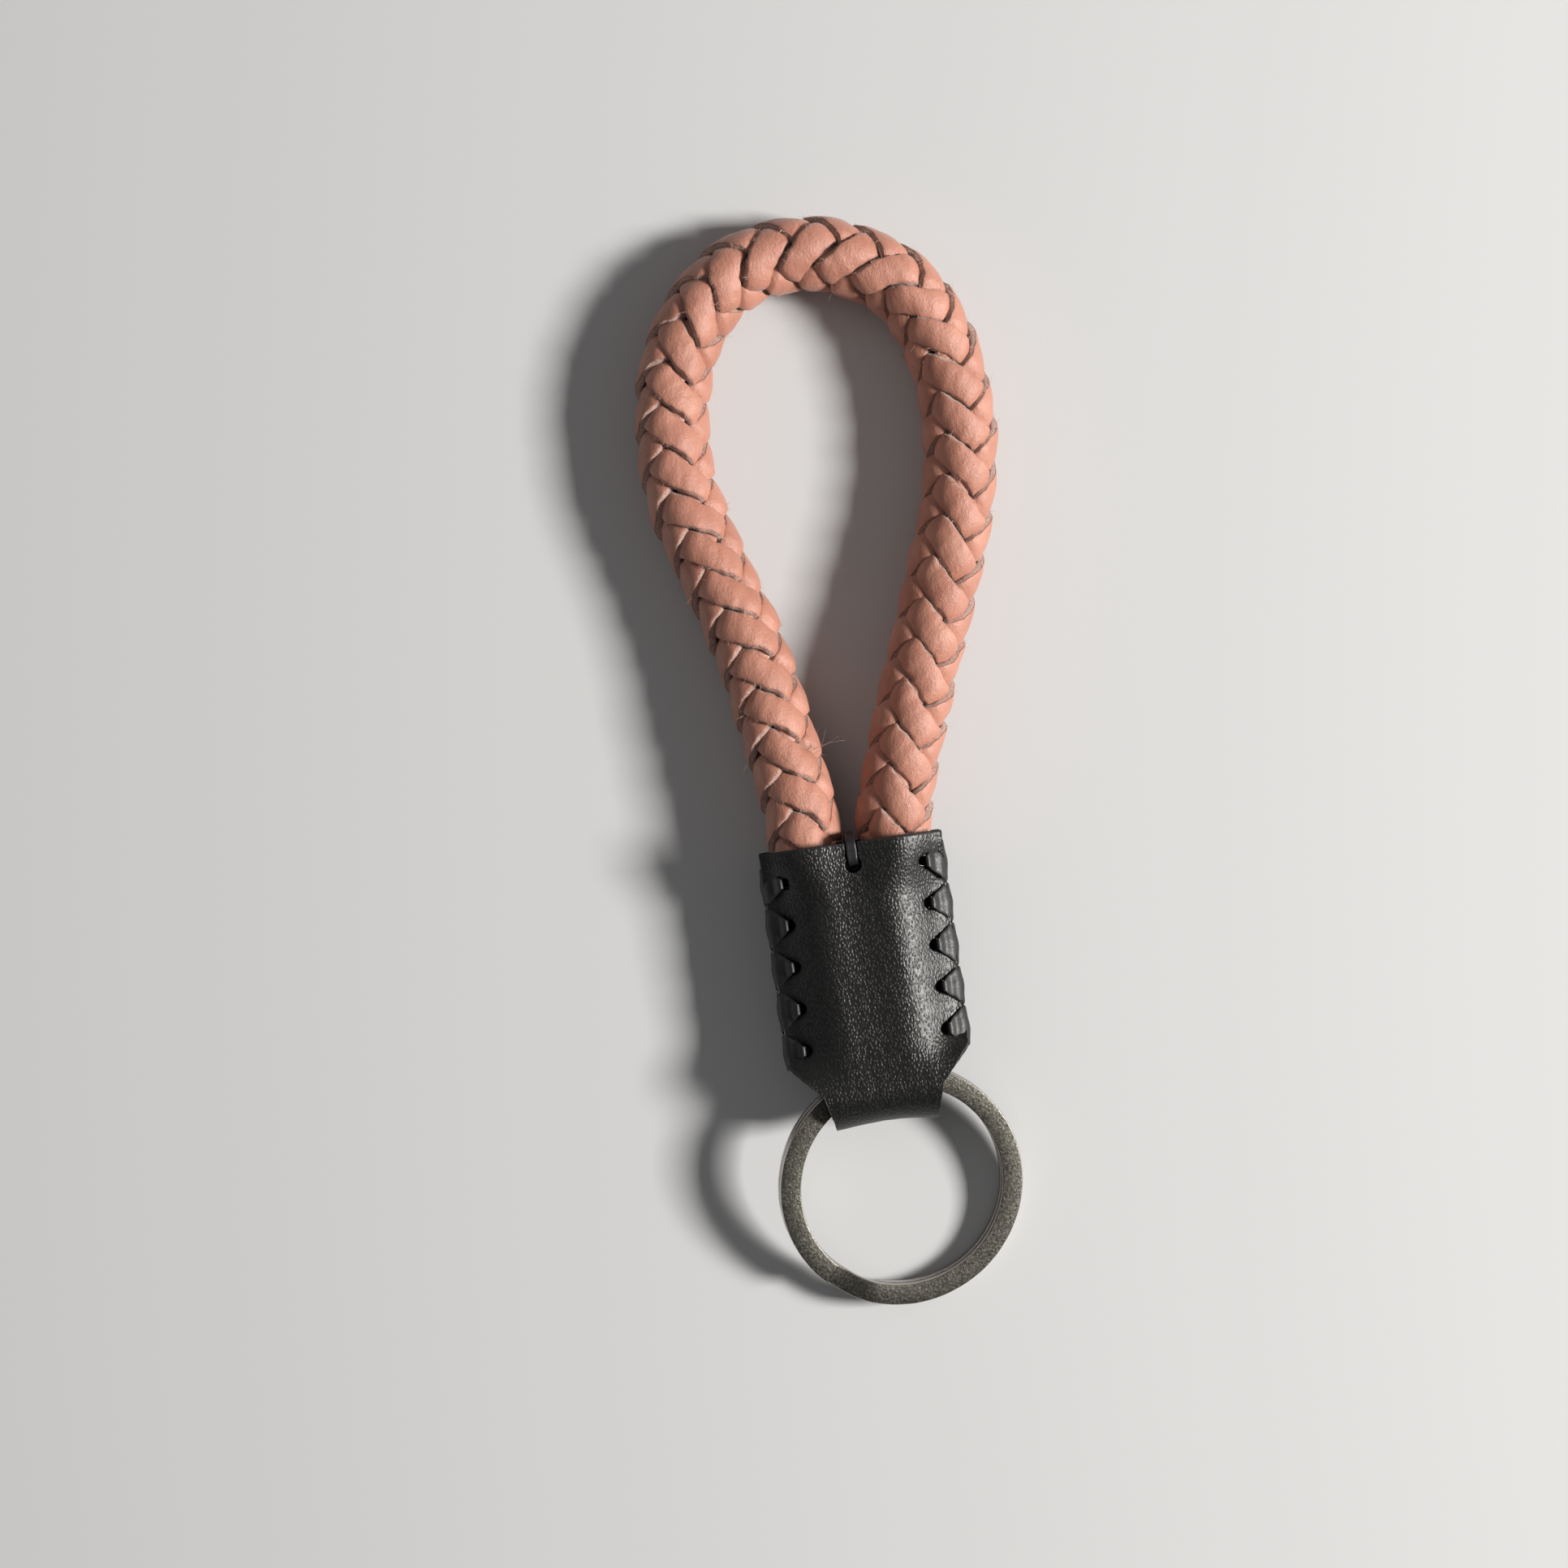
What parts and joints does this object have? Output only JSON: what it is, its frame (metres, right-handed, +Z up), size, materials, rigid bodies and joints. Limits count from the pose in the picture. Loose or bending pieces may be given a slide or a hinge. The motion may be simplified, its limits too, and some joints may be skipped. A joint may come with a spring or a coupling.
{
  "type": "wristlet keychain",
  "caption": "Braided leather wrist loop whose ends are laced into a folded leather sleeve, with a flat split ring swinging in the sleeve's fold.",
  "frame": {"origin": "on the surface that the object lies on, under the middle of the sleeve and split ring's box", "axes": "+X across the sleeve, +Y along the sleeve from the ring towards the loop, +Z up from the surface"},
  "size_m": [0.0439, 0.1335, 0.0133],
  "materials": {
    "strap_leather": "smooth salmon leather, satin, with raw lighter cut edges",
    "thread": "waxed binding thread",
    "sleeve_leather": "black pebbled grain, satin",
    "lace": "smooth black lace, slight sheen",
    "ring_steel": "dark antique nickel, mottled flats and polished walls"
  },
  "bodies": {
    "holder": {"strap_braid": "strap_leather", "strap_whipping_left": "thread", "strap_whipping_right": "thread", "sleeve_leather": "sleeve_leather", "side_lace_left": "lace", "side_lace_right": "lace", "centre_stitch": "lace"},
    "ring": {"split_ring": "ring_steel"}
  },
  "joints": [
    {"name": "ring_swing", "type": "hinge", "parent": "holder", "child": "ring", "pos_m": [0, -0.0021, 0.00665], "axis": [1, 0, 0], "range_deg": [-60, 60]}
  ]
}
